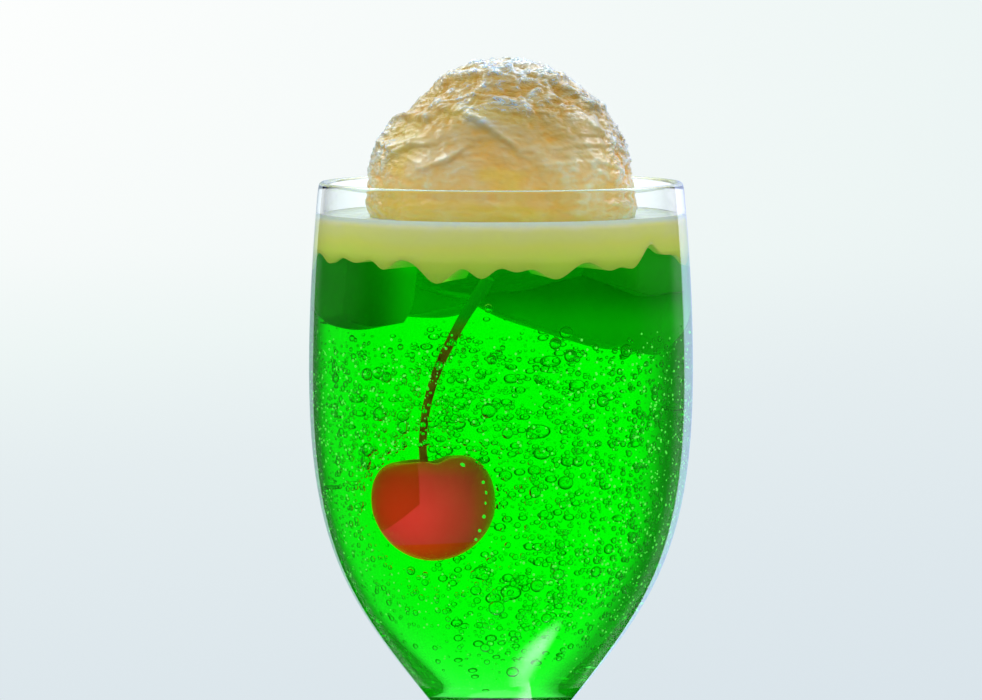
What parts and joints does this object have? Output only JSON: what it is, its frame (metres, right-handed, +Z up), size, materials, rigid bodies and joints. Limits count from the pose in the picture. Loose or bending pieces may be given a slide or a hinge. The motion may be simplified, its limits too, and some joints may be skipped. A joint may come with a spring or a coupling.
{
  "type": "ice cream float",
  "caption": "Melon cream soda in a stemmed goblet: green fizzy drink under melted cream, a scoop of vanilla ice cream and a red cherry on its stalk.",
  "frame": {"origin": "middle of the foot's underside", "axes": "+Z up along the goblet's axis, -Y towards the side on which the cherry hangs"},
  "size_m": [0.0768, 0.0768, 0.1894],
  "materials": {
    "clear_glass": "clear polished glass",
    "green_soda": "clear bright green soft drink, full of small bubbles",
    "melted_cream": "melted cream tinted by the drink, smooth and wet",
    "ice_cream": "pale yellow vanilla ice cream, rough and icy",
    "cherry_flesh": "glossy translucent red preserved cherry",
    "cherry_stalk": "dark red-brown stalk"
  },
  "bodies": {
    "root": {"goblet": "clear_glass", "soda": "green_soda", "cream_layer": "melted_cream", "ice_cream_scoop": "ice_cream", "cherry": "cherry_flesh", "cherry_stem": "cherry_stalk"}
  },
  "joints": []
}
